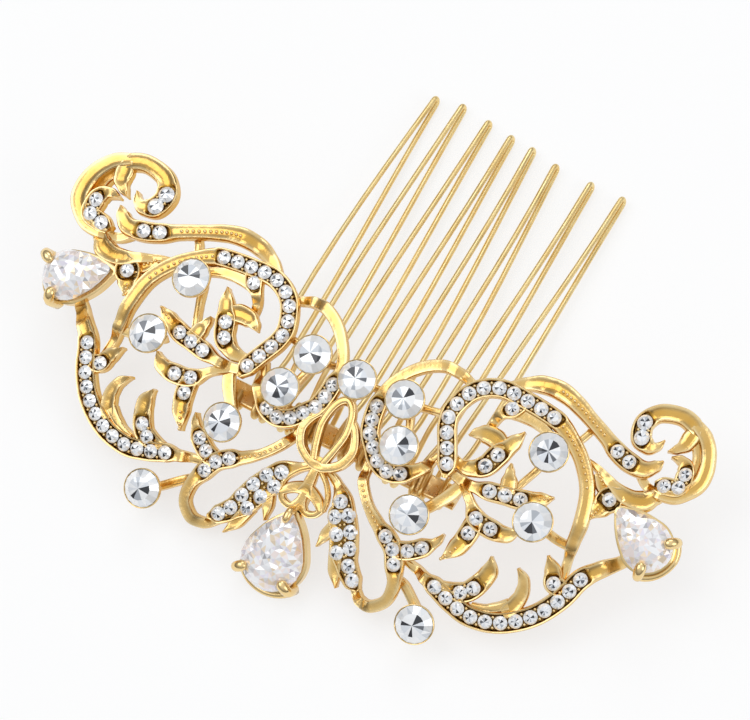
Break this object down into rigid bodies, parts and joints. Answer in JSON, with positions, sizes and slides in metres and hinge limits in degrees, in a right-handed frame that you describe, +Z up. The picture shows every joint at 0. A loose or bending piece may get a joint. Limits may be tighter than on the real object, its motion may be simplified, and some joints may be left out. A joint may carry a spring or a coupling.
{
  "type": "decorative hair comb",
  "caption": "Arched openwork scroll ornament in plated metal, set with round and pear-shaped stones, on a wire hair comb whose hairpin tines hold it in the hair.",
  "frame": {"origin": "on the surface it lies on, under the middle of the whole comb", "axes": "+X along the width of the ornament, +Y towards the tips of the tines, +Z up from the surface"},
  "size_m": [0.0968, 0.0739, 0.018],
  "materials": {
    "plated_gold": "polished plating, darker in the recesses",
    "crystal": "clear, faceted, silvered back"
  },
  "bodies": {
    "root": {"left_end_scroll": "plated_gold", "left_top_sweep": "plated_gold", "left_corner_leaf": "plated_gold", "left_s_scroll": "plated_gold", "left_curled_leaf": "plated_gold", "left_sprays": "plated_gold", "left_crescent": "plated_gold", "left_ribbon": "plated_gold", "left_petal": "plated_gold", "left_leaf_band": "plated_gold", "left_end_basket": "plated_gold", "left_cups": "plated_gold", "right_end_scroll": "plated_gold", "right_top_sweep": "plated_gold", "right_corner_leaf": "plated_gold", "right_s_scroll": "plated_gold", "right_curled_leaf": "plated_gold", "right_sprays": "plated_gold", "right_crescent": "plated_gold", "right_ribbon": "plated_gold", "right_petal": "plated_gold", "right_leaf_band": "plated_gold", "right_end_basket": "plated_gold", "right_cups": "plated_gold", "left_end_scroll_stones": "crystal", "left_top_sweep_stones": "crystal", "left_corner_leaf_stone": "crystal", "left_s_scroll_stones": "crystal", "left_curled_leaf_stones": "crystal", "left_sprays_stones": "crystal", "left_crescent_stones": "crystal", "left_ribbon_stones": "crystal", "left_petal_stones": "crystal", "left_leaf_band_stones": "crystal", "left_round_stones": "crystal", "left_pear_stone": "crystal", "right_end_scroll_stones": "crystal", "right_top_sweep_stones": "crystal", "right_corner_leaf_stone": "crystal", "right_s_scroll_stones": "crystal", "right_curled_leaf_stones": "crystal", "right_sprays_stones": "crystal", "right_crescent_stones": "crystal", "right_ribbon_stones": "crystal", "right_petal_stones": "crystal", "right_leaf_band_stones": "crystal", "right_round_stones": "crystal", "right_pear_stone": "crystal", "centre_bow": "plated_gold", "centre_cup": "plated_gold", "centre_round_stone": "crystal", "centre_basket": "plated_gold", "centre_pear_stone": "crystal", "comb_strip": "plated_gold", "comb_wire": "plated_gold"}
  },
  "joints": []
}
